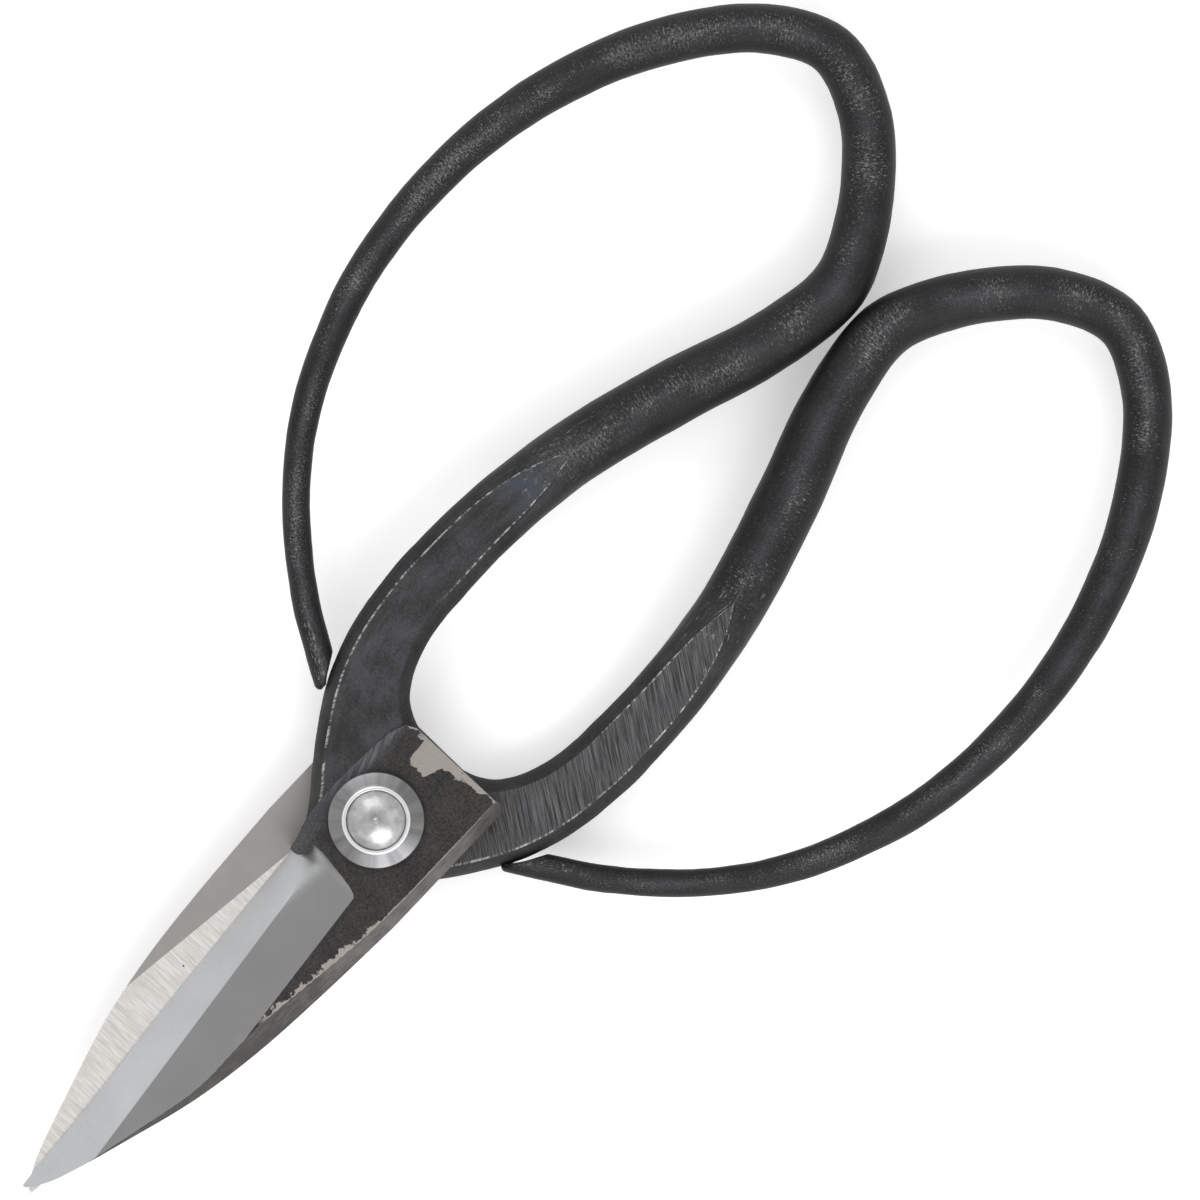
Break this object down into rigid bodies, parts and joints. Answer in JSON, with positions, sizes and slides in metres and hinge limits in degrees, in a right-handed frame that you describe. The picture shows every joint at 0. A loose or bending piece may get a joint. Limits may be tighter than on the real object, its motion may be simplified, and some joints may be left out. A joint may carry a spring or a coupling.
{
  "type": "loop-handled forged shears",
  "caption": "Hand-forged shears with large loop handles, short pointed blades and a domed pivot rivet between turned washers.",
  "frame": {"origin": "on the pivot axis, at the flat end of the rivet's tail", "axes": "+Z along the rivet towards its domed head, +Y from the pivot towards the closed blade tips, +X towards the upper half's handle"},
  "size_m": [0.1068, 0.1797, 0.014],
  "materials": {
    "black_forged_steel": "black forge scale, ground bright on the blades",
    "polished_steel": "polished",
    "turned_steel": "lathe-turned"
  },
  "bodies": {
    "lower_half": {"rear_half": "black_forged_steel", "rear_washer": "turned_steel", "rivet": "polished_steel", "front_washer": "turned_steel"},
    "upper_half": {"front_half": "black_forged_steel"}
  },
  "joints": [
    {"name": "pivot", "type": "hinge", "parent": "lower_half", "child": "upper_half", "pos_m": [0, 0, 0.00647], "axis": [0, 0, 1], "range_deg": [0, 60]}
  ]
}
